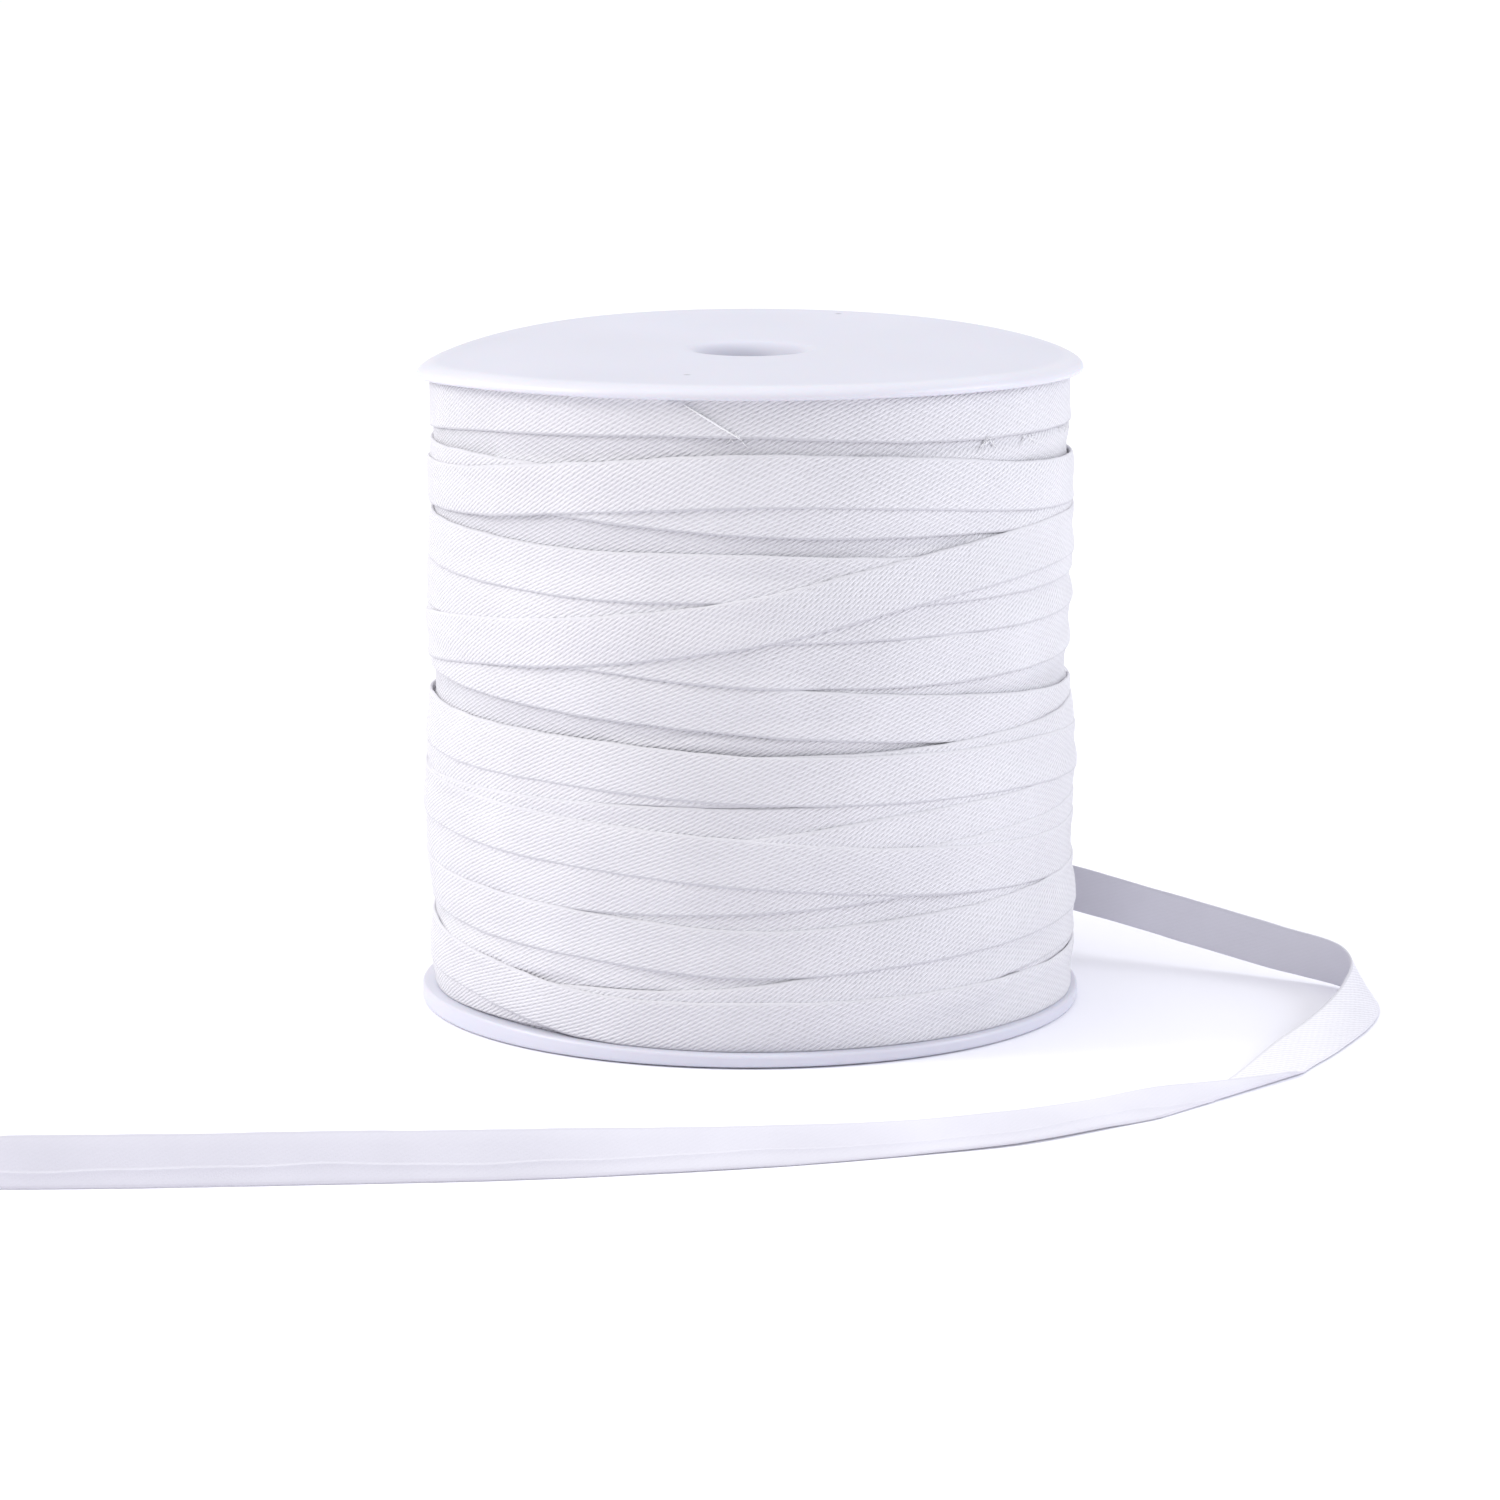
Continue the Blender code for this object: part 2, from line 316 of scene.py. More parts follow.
def mesh_object(name, points, faces, finish, uv=None):
    """A smooth mesh object from arrays, with uv given for each point in metres."""
    mesh = bpy.data.meshes.new(name)
    mesh.from_pydata((points * MM).tolist(), [], faces.tolist() if hasattr(faces, "tolist") else faces)
    if uv is not None:
        layer = mesh.uv_layers.new(name="cloth")
        loops = np.zeros(len(mesh.loops), np.int32)
        mesh.loops.foreach_get("vertex_index", loops)
        layer.data.foreach_set("uv", (uv[loops] * MM).astype(np.float32).ravel())
    mesh.shade_smooth()
    mesh.materials.append(finish)
    made = bpy.data.objects.new(name, mesh)
    bpy.context.scene.collection.objects.link(made)
    return made


class Nodes:
    """Short calls for building a material's nodes."""

    def __init__(self, name):
        self.material = bpy.data.materials.new(name)
        self.material.use_nodes = True
        self.tree = self.material.node_tree
        self.shader = self.tree.nodes["Principled BSDF"]

    def add(self, kind, **settings):
        node = self.tree.nodes.new(kind)
        for key, value in settings.items():
            setattr(node, key, value)
        return node

    def put(self, source, target):
        """Links a node's output, or sets a plain value."""
        if isinstance(source, bpy.types.NodeSocket):
            self.tree.links.new(source, target)
        else:
            target.default_value = source

    def math(self, operation, *values):
        node = self.add("ShaderNodeMath", operation=operation)
        for value, socket in zip(values, node.inputs):
            self.put(value, socket)
        return node.outputs[0]

    def noise(self, vector, scale, detail=2.0):
        node = self.add("ShaderNodeTexNoise")
        self.put(vector, node.inputs["Vector"])
        node.inputs["Scale"].default_value = scale
        node.inputs["Detail"].default_value = detail
        return node.outputs["Fac"]

    def ramp(self, value, low, high):
        """A colour between two, by a value from 0 to 1."""
        node = self.add("ShaderNodeMix", data_type="RGBA")
        self.put(value, node.inputs["Factor"])
        self.put(low, node.inputs["A"])
        self.put(high, node.inputs["B"])
        return node.outputs["Result"]

    def tinted(self, colour, tint):
        """A colour multiplied by another."""
        node = self.add("ShaderNodeMix", data_type="RGBA", blend_type="MULTIPLY")
        node.inputs["Factor"].default_value = 1.0
        self.put(colour, node.inputs["A"])
        self.put(tint, node.inputs["B"])
        return node.outputs["Result"]

    def hypot(self, x, y):
        squares = self.math("MULTIPLY_ADD", x, x, self.math("MULTIPLY", y, y))
        return self.math("SQRT", squares)

    def fade(self, value, start, end):
        """0 up to start, 1 from end on, and smooth between."""
        node = self.add("ShaderNodeMapRange", interpolation_type="SMOOTHSTEP")
        self.put(value, node.inputs["Value"])
        node.inputs["From Min"].default_value = start
        node.inputs["From Max"].default_value = end
        return node.outputs["Result"]

    def bump(self, height, distance, strength=1.0, normal=None):
        node = self.add("ShaderNodeBump")
        node.inputs["Distance"].default_value = distance
        node.inputs["Strength"].default_value = strength
        self.put(height, node.inputs["Height"])
        if normal is not None:
            self.put(normal, node.inputs["Normal"])
        return node.outputs["Normal"]


def cotton(name, light, dark, weave_depth):
    """White cotton cut on the bias: slanting yarns, a little fuzz and a smoother wrong side. Painted shade darkens
    its wrong side, its edges, the recessed turns, the tape off the roll and the outer face at its turn.
    """
    made = Nodes(name)
    place = made.add("ShaderNodeTexCoord")
    split = made.add("ShaderNodeSeparateXYZ")
    made.put(place.outputs["UV"], split.inputs[0])
    along, wide = split.outputs[0], split.outputs[1]
    wander = made.noise(place.outputs["Object"], 900.0, 2.0)
    yarns = []
    for slant, pitch in ((64.0, 0.00046), (-20.0, 0.0011)):
        turn = math.radians(slant)
        run = made.math("ADD", made.math("MULTIPLY", along, math.cos(turn) * 2 * math.pi / pitch),
                        made.math("MULTIPLY", wide, math.sin(turn) * 2 * math.pi / pitch))
        yarns.append(made.math("ADD", run, made.math("MULTIPLY", wander, 3.0)))
    wrong_side = made.add("ShaderNodeAttribute", attribute_name=WRONG_SIDE).outputs["Fac"]
    floats = made.math("SINE", made.math("MULTIPLY_ADD", yarns[0], 0.5, yarns[1]))
    weave = made.math("MULTIPLY", made.math("SINE", yarns[0]), made.math("MULTIPLY_ADD", floats, 0.35, 0.75))
    weave = made.math("MULTIPLY", weave, made.math("MULTIPLY_ADD", wrong_side, -0.92, 1.0))
    from_middle = made.math("ABSOLUTE", wide)
    rim = made.fade(from_middle, (TAPE_WIDE / 2 - 0.42) * MM, (TAPE_WIDE / 2 - 0.15) * MM)
    on_strip = made.fade(from_middle, (TAPE_WIDE / 2 + 0.4) * MM, (TAPE_WIDE / 2 + 0.3) * MM)
    rim = made.math("MULTIPLY", rim, on_strip)
    upper = made.fade(wide, -0.001 * MM, 0.001 * MM)
    weave = made.math("MULTIPLY", weave, made.math("SUBTRACT", 1.0, rim))
    split = made.add("ShaderNodeSeparateXYZ")
    made.put(place.outputs["Object"], split.inputs[0])
    radius = made.hypot(split.outputs[0], split.outputs[1])
    off = made.fade(radius, 44.3 * MM, 52.0 * MM)
    weave = made.math("MULTIPLY", weave, made.math("MULTIPLY_ADD", off, -0.45, 1.0))
    height = made.math("ADD", weave, made.math("MULTIPLY", made.noise(place.outputs["Object"], 5000.0), 0.5))
    made.put(made.bump(height, weave_depth), made.shader.inputs["Normal"])
    tone = made.math("MULTIPLY_ADD", weave, 0.42, 0.5)
    # painted shade along the tape's edges: deep at the lower edge on the roll, slight at the upper one
    tone = made.math("MULTIPLY_ADD", rim, made.math("MULTIPLY_ADD", upper, 0.45, -0.6), tone)
    tone = made.math("ADD", tone, made.math("MULTIPLY_ADD", made.noise(place.outputs["Object"], 60.0), 0.4, -0.2))
    # painted shade: the wrong side is darker and a little bluer than the outer face
    tone = made.math("ADD", tone, made.math("MULTIPLY", wrong_side, -0.4))
    colour = made.tinted(made.ramp(tone, dark, light), made.ramp(wrong_side, (1, 1, 1, 1), (1, 1, 1.03, 1)))
    # painted shade: tape lying at low radii, in the recesses between outer turns, is darker
    out = made.fade(radius, RECESS_R * MM, OPEN_R * MM)
    colour = made.tinted(colour, made.ramp(out, (0.82, 0.82, 0.84, 1), (1, 1, 1, 1)))
    # painted shade: the tape off the roll is darker
    colour = made.tinted(colour, made.ramp(off, (0.88, 0.88, 0.88, 1), (1.0, 1.0, 1.0, 1)))
    # painted shade on the outer face of the loose tape's turn at the right
    right_side = made.math("SUBTRACT", 1.0, wrong_side)
    at_turn = made.math("MULTIPLY", made.fade(split.outputs[0], 72.0 * MM, 82.0 * MM), right_side)
    colour = made.tinted(colour, made.ramp(at_turn, (1, 1, 1, 1), (0.88, 0.88, 0.9, 1)))
    made.put(colour, made.shader.inputs["Base Color"])
    made.shader.inputs["Roughness"].default_value = 0.85
    made.shader.inputs["Specular IOR Level"].default_value = 0.25
    made.shader.inputs["Sheen Weight"].default_value = 0.25
    made.shader.inputs["Sheen Roughness"].default_value = 0.5
    return made.material


def moulded_plastic():
    """Smooth milky plastic with the faint unevenness of a moulding, and painted shade round the bore, on the faces
    inside the rims, on the bottom flange and at two small pits.
    """
    made = Nodes("moulded_plastic")
    place = made.add("ShaderNodeTexCoord").outputs["Object"]
    uneven = made.noise(place, 45.0, 3.0)
    fine = made.noise(place, 1800.0, 2.0)
    split = made.add("ShaderNodeSeparateXYZ")
    made.put(place, split.inputs[0])
    tone = made.ramp(uneven, (0.60, 0.60, 0.665, 1), (0.665, 0.665, 0.73, 1))
    far = made.hypot(split.outputs[0], split.outputs[1])
    # painted shade: darker round the bore and on its lip, and a little darker on all faces inside the rims
    painted_shades = [(made.fade(far, BORE_R * MM, (LIP_R - 0.8) * MM), 0.72), (made.fade(far, 40.6 * MM, 42.6 * MM), 0.93)]
    # painted shade: the bottom flange is darker
    painted_shades.append((made.fade(split.outputs[2], 2.0 * MM, 4.0 * MM), 0.94))
    # painted shade: a dark spot at each pit
    for x, y in PITS:
        away = made.add("ShaderNodeVectorMath", operation="DISTANCE")
        made.put(place, away.inputs[0])
        away.inputs[1].default_value = (x * MM, y * MM, HEIGHT * MM)
        painted_shades.append((made.fade(away.outputs["Value"], 0.2 * MM, 0.7 * MM), 0.5))
    for open_share, dark in painted_shades:
        tone = made.tinted(tone, made.ramp(open_share, (dark, dark, dark * 1.03, 1), (1, 1, 1, 1)))
    made.put(tone, made.shader.inputs["Base Color"])
    rough = made.math("MULTIPLY_ADD", uneven, 0.18, 0.30)
    made.put(rough, made.shader.inputs["Roughness"])
    soft = made.bump(uneven, 0.0004, 0.35)
    made.put(made.bump(fine, 0.00002, 0.5, soft), made.shader.inputs["Normal"])
    made.shader.inputs["Subsurface Weight"].default_value = 0.1
    made.shader.inputs["Subsurface Scale"].default_value = 0.002
    return made.material


def arc(centre, radii, start, end, steps):
    angles = np.radians(np.linspace(start, end, steps + 1))
    return [(centre[0] + radii[0] * math.cos(a), centre[1] + radii[1] * math.sin(a)) for a in angles]


def droop(azimuths):
    """How far the top flange's rim hangs below level, where the moulding is warped."""
    hangs = 0.0
    for sag in SAGS:
        away = (np.asarray(azimuths) - sag.azimuth + 180.0) % 360.0 - 180.0
        hangs = hangs + sag.depth * np.exp(-(away / sag.spread) ** 2)
    return hangs


def foot_rise(azimuths):
    """How far the bottom flange's underside stands off the table, at the front of its rim."""
    away = (np.asarray(azimuths) + 180.0) % 360.0 - 180.0
    return FOOT_RISE * np.exp(-(away / 50.0) ** 2)


def rim_rise(azimuths):
    """How much thicker the bottom flange's rim is at the left of the front."""
    away = (np.asarray(azimuths) + 58.0 + 180.0) % 360.0 - 180.0
    return RIM_RISE * np.exp(-(away / 34.0) ** 2)


def spool(finish):
    """The moulding, with finer rounds than its solid has."""
    edge_r = FLANGE_R - EDGE_THIN
    shoulder = (SHOULDER_WIDE, FLANGE_THICK - EDGE_THIN)
    edge = (EDGE_THIN, EDGE_THIN)
    lip = (LIP_R - BORE_R, LIP_DEEP)
    low, high = FLANGE_THICK, HEIGHT - FLANGE_THICK
    levels = np.linspace(LIP_R + 4.0, FLANGE_R - SHOULDER_WIDE, 5)[:-1]
    profile = [(r, HEIGHT) for r in levels]
    profile += arc((FLANGE_R - SHOULDER_WIDE, high + EDGE_THIN), shoulder, 90, 0, 10)
    profile += arc((edge_r, high + EDGE_THIN), edge, 0, -90, 4)[1:]
    profile += [(r, high) for r in levels[::-1]]
    profile += [(HUB_R, high), (HUB_R, low)]
    profile += arc((edge_r, low - EDGE_THIN), edge, 90, 0, 4)
    profile += arc((FLANGE_R - FOOT_ROUND, FOOT_ROUND), (FOOT_ROUND, FOOT_ROUND), 0, -90, 6)
    profile += [(LIP_R + 8.0, 0.0)]
    profile += arc((LIP_R, LIP_DEEP), lip, -90, -180, 14)
    profile += arc((LIP_R, HEIGHT - LIP_DEEP), lip, 180, 90, 14)
    radii, heights = np.array(profile).T
    turns = 240
    azimuths = np.arange(turns) * 360.0 / turns
    hangs = np.clip(radii / FLANGE_R, 0, 1) ** 3 * (heights > HEIGHT / 2)
    outwards = np.clip(radii / FLANGE_R, 0, 1) ** 6
    foot = outwards * (heights < FLANGE_THICK / 2)
    rim = outwards * (heights >= FLANGE_THICK / 2) * (heights <= FLANGE_THICK)
    moved = (
        foot_rise(azimuths)[:, None] * foot
        + rim_rise(azimuths)[:, None] * rim
        - droop(azimuths)[:, None] * hangs
    )
    points = on_roll(
        np.repeat(-azimuths[:, None], len(radii), 1),
        np.tile(radii, (turns, 1)),
        heights[None, :] + moved,
    )
    faces = grid_faces(turns, len(radii), closed_rows=True, closed_columns=True)
    made = mesh_object("spool_moulding", points.reshape(-1, 3), faces[:, ::-1], finish)
    made.data.set_sharp_from_angle(angle=math.radians(50))
    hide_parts("spool")
    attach(made, BODY)
    return made


def grid_faces(rows, columns, closed_rows=False, closed_columns=False):
    """Quads over a grid of points listed row by row."""
    i = np.arange(rows if closed_rows else rows - 1)
    j = np.arange(columns if closed_columns else columns - 1)
    i, j = np.meshgrid(i, j, indexing="ij")
    k, m = (i + 1) % rows, (j + 1) % columns
    return np.stack([i * columns + j, k * columns + j, k * columns + m, i * columns + m], axis=-1).reshape(-1, 4)


# The solver's grid: columns round the roll, rows up it
COLUMNS = 240
COLUMN_STEP = 360.0 / COLUMNS
ROW_STEP = 0.1
ROW_HEIGHTS = np.arange(FLANGE_THICK + GAP, HEIGHT - FLANGE_THICK - GAP + 0.01, ROW_STEP)
STARTS_AT = -90.0
ENDS_AT = 360.0 * len(TURNS) - LEAVES_AT
UNDER_TURNS = 19
LEVEL_OVER = 14.0
TUCKED = 1.6
TUCK_DEEP = 0.5
SPREAD = np.linspace(-3.1, 3.1, 32)
ACROSS_BEND = 0.15
ALONG_BEND = 0.035
CHUNK = 30
REACH = 22


def wander(at, scale, seed):
    """A smooth uneven value between about -1 and 1, the same in each run."""
    total = 0.0
    for k, rate in enumerate((1.0, 2.27, 4.13)):
        total = total + np.sin(at / scale * rate * 2 * math.pi + seed * 1.7 + k * 2.1) / (k + 1)
    return total / 1.6


def tape_middle(wound):
    """The height of the tape's middle line at each wound angle, in degrees from the front of turn 0."""
    knots = [360.0 * k - a for k in range(len(TURNS)) for a in TURN_AZIMUTHS]
    heights = [h for turn in TURNS for h in turn]
    knots.append(ENDS_AT)
    heights.append(LEAVES_Z)
    on_top = smooth(np.clip(wound, STARTS_AT, ENDS_AT), np.array(knots), np.array(heights))
    first = STARTS_AT - 360.0 * UNDER_TURNS
    lowest_at = STARTS_AT - 360.0 * 6
    under = np.interp(wound, (first, lowest_at, STARTS_AT), (81.0, 5.8, TURNS[0].right))
    under += 0.9 * wander(wound, 300.0, 3.0) * np.clip((STARTS_AT - wound) / 90.0, 0.0, 1.0)
    return np.where(wound < STARTS_AT, under, on_top)


def closing(values, spacing, bend, reach):
    """The lowest surface over the values that bends no more tightly than the parabola allows."""
    made = values.copy()
    for k in range(1, reach + 1):
        drop = bend * (k * spacing) ** 2
        made[k:] = np.maximum(made[k:], values[:-k] - drop)
        made[:-k] = np.maximum(made[:-k], values[k:] - drop)
    return made


def blurred(values, width):
    """The values smoothed along their first axis."""
    reach = int(3 * width)
    weights = np.exp(-0.5 * (np.arange(-reach, reach + 1) / width) ** 2)
    weights /= weights.sum()
    padded = np.pad(values, ((reach, reach), (0, 0)), mode="edge")
    return sum(w * padded[k:k + len(values)] for k, w in enumerate(weights))


class Winding:
    """The roll's outer surface as a height field, on which the tape is laid turn by turn."""

    def __init__(self):
        self.radii = np.full((COLUMNS, len(ROW_HEIGHTS)), UNDER_R)

    def sampled(self, columns, middles, widths):
        """The surface's radius under the tape, at each column and place across it."""
        heights = middles[:, None] + SPREAD[None, :] * widths[:, None]
        rows = np.clip((heights - ROW_HEIGHTS[0]) / ROW_STEP, 0, len(ROW_HEIGHTS) - 1.001)
        low = rows.astype(int)
        share = rows - low
        line = columns[:, None]
        return self.radii[line, low] * (1 - share) + self.radii[line, low + 1] * share

    def lay(self, wound):
        """Lays the tape along these wound angles, and returns its outer radius at each place across it."""
        columns = np.round(-wound / COLUMN_STEP).astype(int) % COLUMNS
        middles = tape_middle(wound)
        slopes = np.gradient(middles, np.radians(wound) * 43.0)
        widths = np.sqrt(1 + slopes ** 2)
        under = np.zeros((len(wound), len(SPREAD)))
        laid = np.zeros_like(under)
        arc_step = math.radians(COLUMN_STEP) * 43.0
        across_step = SPREAD[1] - SPREAD[0]
        for first in range(0, len(wound), CHUNK):
            last = min(first + CHUNK, len(wound))
            seen = slice(first, min(last + REACH, len(wound)))
            below = self.sampled(columns[seen], middles[seen], widths[seen])
            under[seen] = closing(below.T, across_step, ACROSS_BEND, len(SPREAD) - 1).T
            start = max(first - REACH, 0)
            around = closing(under[start:seen.stop], arc_step, ALONG_BEND, REACH)
            around = np.maximum(blurred(around, 1.6), under[start:seen.stop])[first - start:last - start]
            room = np.clip((TOP_R - around) / 1.6, 0.0, 1.0)
            lift = TURN_LIFT * (0.45 + 0.55 * room) * (1 + 0.12 * wander(wound[first:last, None], 37.0, 1.0))
            laid[first:last] = around + lift
            self.cover(columns[first:last], middles[first:last], widths[first:last], laid[first:last])
        return laid

    def cover(self, columns, middles, widths, laid):
        for column, middle, width, outer in zip(columns, middles, widths, laid):
            away = (ROW_HEIGHTS - middle) / width
            rows = np.flatnonzero(np.abs(away) <= TAPE_WIDE / 2)
            new = np.interp(away[rows], SPREAD, outer)
            self.radii[column, rows] = np.maximum(self.radii[column, rows], new)


# A section of the tape: its rounded edges, and how many places lie between them on its outer face
EDGE_ROUND = 0.3
EDGE_ANGLES = np.radians((90.0, 50.0, 15.0, -15.0, -50.0, -90.0))
FACE_PLACES = 8


def edge_places(half, thick, round_off=EDGE_ROUND):
    """One rounded edge's points, from the outer face to the wrong one: place across, and depth."""
    places = half - round_off + round_off * np.cos(EDGE_ANGLES)
    depths = thick / 2 * (1 - np.sin(EDGE_ANGLES))
    return places, depths


def wound_section(half):
    """The tape's section on the roll: each point's place across and its depth below the outer face."""
    places, depths = edge_places(half, TAPE_THICK)
    face = np.linspace(-half + EDGE_ROUND, half - EDGE_ROUND, FACE_PLACES + 2)[1:-1]
    across_it = np.concatenate([face, places, [0.0], -places[::-1]])
    depth = np.concatenate([np.zeros(len(face)), depths, [TAPE_THICK], depths[::-1]])
    return across_it, depth


def on_roll(angles, radii, heights):
    """Points from wound angles in degrees, radii and heights."""
    turned = np.radians(-angles)
    return np.stack([radii * np.sin(turned), -radii * np.cos(turned), heights], axis=-1)


def pressed(radii, azimuths, heights):
    """Radii on the roll, drawn together as the tight turns press on each other, and fuller low at the right."""
    away = (np.asarray(azimuths) - SWELL_AT + 180.0) % 360.0 - 180.0
    swell = SWELL * np.exp(-(away / SWELL_WIDE) ** 2 - (np.asarray(heights) / SWELL_HIGH) ** 2)
    return np.minimum(PRESSED_R + (radii - UNDER_R) * PRESSED_SHARE + swell, FLANGE_R - 0.15)


def between_the_flanges(azimuths, heights):
    """Heights on the roll, spread to meet both flanges, and pressed down where the top one hangs low."""
    high = np.clip((heights - 70.0) / 14.0, 0.0, 1.0)
    low = np.clip((9.0 - heights) / 6.0, 0.0, 1.0)
    spread = heights + (GAP + 0.12) * (high - low) + rim_rise(azimuths) * low
    lowest_place = FLANGE_THICK + FLANGE_CLEAR + rim_rise(azimuths)
    highest_place = HEIGHT - FLANGE_THICK - FLANGE_CLEAR
    return np.clip(spread, lowest_place, highest_place) - droop(azimuths) * high * high * (3 - 2 * high)


def closed_faces(rows, around):
    """The faces of a tube of sections with its two ends closed."""
    faces = grid_faces(rows, around, closed_columns=True).tolist()
    faces.append(list(range(around)))
    faces.append([(rows - 1) * around + k for k in reversed(range(around))])
    return faces


def seam_rise(wound, across_it):
    """How proud the tape stands where it is double, before the slanting seam that joins two lengths of it."""
    seam_at = SEAM_AZIMUTH + (SEAM_TOP - across_it) * SEAM_SLANT
    before = (seam_at + (wound - 360.0 * SEAM_TURN)) * math.radians(1.0) * UNDER_R
    step = np.clip(before / 0.6 + 0.5, 0.0, 1.0)
    return SEAM_RISE * step * step * (3 - 2 * step) * np.exp(-(np.maximum(before, 0.0) / 6.0) ** 2)


def wound_tape(wound, laid, finish):
    """The last turns, as one length of tape."""
    middles = tape_middle(wound)
    arc_length = np.radians(wound - wound[0]) * 43.0
    slopes = np.gradient(middles, np.radians(wound) * 43.0)
    half = TAPE_WIDE / 2 + 0.07 * wander(arc_length, 31.0, 5.0) + 0.04 * wander(arc_length, 7.0, 8.0)
    points, places = [], []
    for k in range(len(wound)):
        across_it, depth = wound_section(half[k])
        outer = np.interp(across_it, SPREAD, laid[k]) + seam_rise(wound[k], across_it)
        width = math.hypot(1.0, slopes[k])
        height = np.clip(middles[k] + across_it * width, ROW_HEIGHTS[0], ROW_HEIGHTS[-1])
        radii = pressed(outer - depth, -wound[k], height)
        height = between_the_flanges(-wound[k], height)
        points.append(on_roll(np.full(len(outer), wound[k]), radii, height))
        places.append(np.stack([arc_length[k] + across_it * slopes[k], across_it], axis=-1))
    points, places = np.array(points), np.array(places)
    faces = closed_faces(len(points), points.shape[1])
    made = mesh_object("wound_tape", points.reshape(-1, 3), faces, finish, places.reshape(-1, 2))
    return made, arc_length[-1]


def turns_below(roll, finish):
    """What lies under the last turns, as one closed ring."""
    rows = np.arange(0, len(ROW_HEIGHTS), 6)
    columns = np.arange(COLUMNS // 2, COLUMNS // 2 + COLUMNS + 1)
    heights = np.concatenate([ROW_HEIGHTS[rows], [ROW_HEIGHTS[-1], ROW_HEIGHTS[0]]])
    azimuths = np.repeat(columns[:, None] * COLUMN_STEP, len(heights), 1)
    heights = np.tile(heights, (len(columns), 1))
    outer = pressed(roll.radii[columns % COLUMNS][:, rows], azimuths[:, :-2], heights[:, :-2])
    inner = np.full((len(columns), 2), HUB_R + GAP)
    radii = np.concatenate([outer, inner], axis=1)
    points = on_roll(-azimuths, radii, between_the_flanges(azimuths, heights))
    places = np.stack([-np.radians(azimuths) * 43.0, heights], axis=-1)
    faces = grid_faces(len(columns), heights.shape[1], closed_columns=True)
    return mesh_object("turns_below", points.reshape(-1, 3), faces, finish, places.reshape(-1, 2))


def on_surface(roll, azimuth, height, proud):
    """A point on the wound tape's outer surface, standing proud of it by so much."""
    column = round(azimuth / COLUMN_STEP) % COLUMNS
    radius = np.interp(height, ROW_HEIGHTS, roll.radii[column])
    radius = pressed(radius, azimuth, height) + proud
    return on_roll(-azimuth, radius, between_the_flanges(azimuth, height))


def threads(name, paths, thick, finish):
    """Thin round threads, thinner towards their ends, as one mesh."""
    angles = np.arange(THREAD_SIDES) * 2 * math.pi / THREAD_SIDES
    points, faces = [], []
    for path in paths:
        path = np.array(path)
        onward = np.gradient(path, axis=0)
        side = np.cross(onward, (0.31, 0.17, 0.94))
        side /= np.linalg.norm(side, axis=1)[:, None]
        up = np.cross(onward, side)
        up /= np.linalg.norm(up, axis=1)[:, None]
        radii = thick / 2 * (0.35 + 0.65 * np.sin(np.linspace(0.15, math.pi - 0.15, len(path))))
        ring = np.cos(angles)[None, :, None] * side[:, None] + np.sin(angles)[None, :, None] * up[:, None]
        first = len(points) * THREAD_SIDES
        for at, around, radius in zip(path, ring, radii):
            points.append(at + around * radius)
        faces += [[first + k for k in face] for face in closed_faces(len(path), THREAD_SIDES)]
    points = np.array(points).reshape(-1, 3)
    made = mesh_object(name, points, faces, finish, points[:, ::2])
    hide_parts("winding")
    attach(made, BODY)
    return made


def seam_and_frays(roll, finish):
    """The seam's raised edge with its frayed tip, and the short threads that stand out of the winding."""
    shares = np.linspace(0.0, 1.0, 14)
    along = SEAM_AZIMUTH + 9.4 * shares
    seam = [on_surface(roll, a, 84.1 - 4.0 * s, 0.3) for a, s in zip(along, shares)]
    threads("seam_edge", [seam], 0.3, finish)
    loose = np.random.default_rng(FRAY_SEED)
    paths = []
    for fray in FRAYS:
        for _ in range(fray.count):
            azimuth = fray.azimuth + loose.uniform(-1, 1) * fray.spread
            height = fray.height + loose.uniform(-0.3, 0.3)
            lean, drop, out = loose.uniform(-2.2, 2.2), loose.uniform(0.8, fray.length), loose.uniform(0.1, 0.5)
            paths.append([
                on_surface(roll, azimuth + lean * s * s, height - drop * s, 0.08 + out * s * (1 - s) * 2)
                for s in np.linspace(0.0, 1.0, 7)
            ])
    threads("frays", paths, 0.13, finish)


def winding(finish):
    """The tape wound between the flanges."""
    roll = Winding()
    roll.lay(np.arange(STARTS_AT - 360.0 * UNDER_TURNS, STARTS_AT, COLUMN_STEP))
    roll.radii = np.maximum(roll.radii, np.median(roll.radii) - UNDER_DIP)
    below = turns_below(roll, finish)
    wound = np.arange(STARTS_AT, ENDS_AT, COLUMN_STEP)
    laid = roll.lay(wound)
    level = np.clip(1.0 - (ENDS_AT - wound[:, None]) / LEVEL_OVER, 0.0, 1.0)
    laid = laid * (1.0 - level) + laid[-1].mean() * level
    wound = np.append(wound, [ENDS_AT, ENDS_AT + TUCKED])
    laid = np.vstack([laid, laid[-1:], laid[-1:] - TUCK_DEEP])
    made, arc_length = wound_tape(wound, laid, finish)
    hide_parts("winding")
    for piece in (made, below):
        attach(piece, BODY)
    # painted light: the seam's edge and the frays are a lighter copy of the tape's cotton
    seam_and_frays(roll, cotton("cotton_thread_painted_bright", (1.0, 1.0, 1.0, 1), (0.92, 0.91, 0.95, 1), 0.00002))
    return float(pressed(laid[-2].mean(), LEAVES_AT, LEAVES_Z)), arc_length


# The loose end's route, as in its solid
STEPS_BEFORE = 170
STEPS_AFTER = 230
BEND_STEPS = 18
FAN_STEPS = 14
CREASE_OPENS = 120.0
LOOSE_ROUND = 0.14
FLAP_PLACES = (-0.9, -0.45, -0.2, -0.06, 0.02, 0.1, 0.3, 0.9)
FLAP_DEPTHS = (0.0, 0.03, 0.10, 0.15, 0.13, -0.02, -0.03, 0.0)


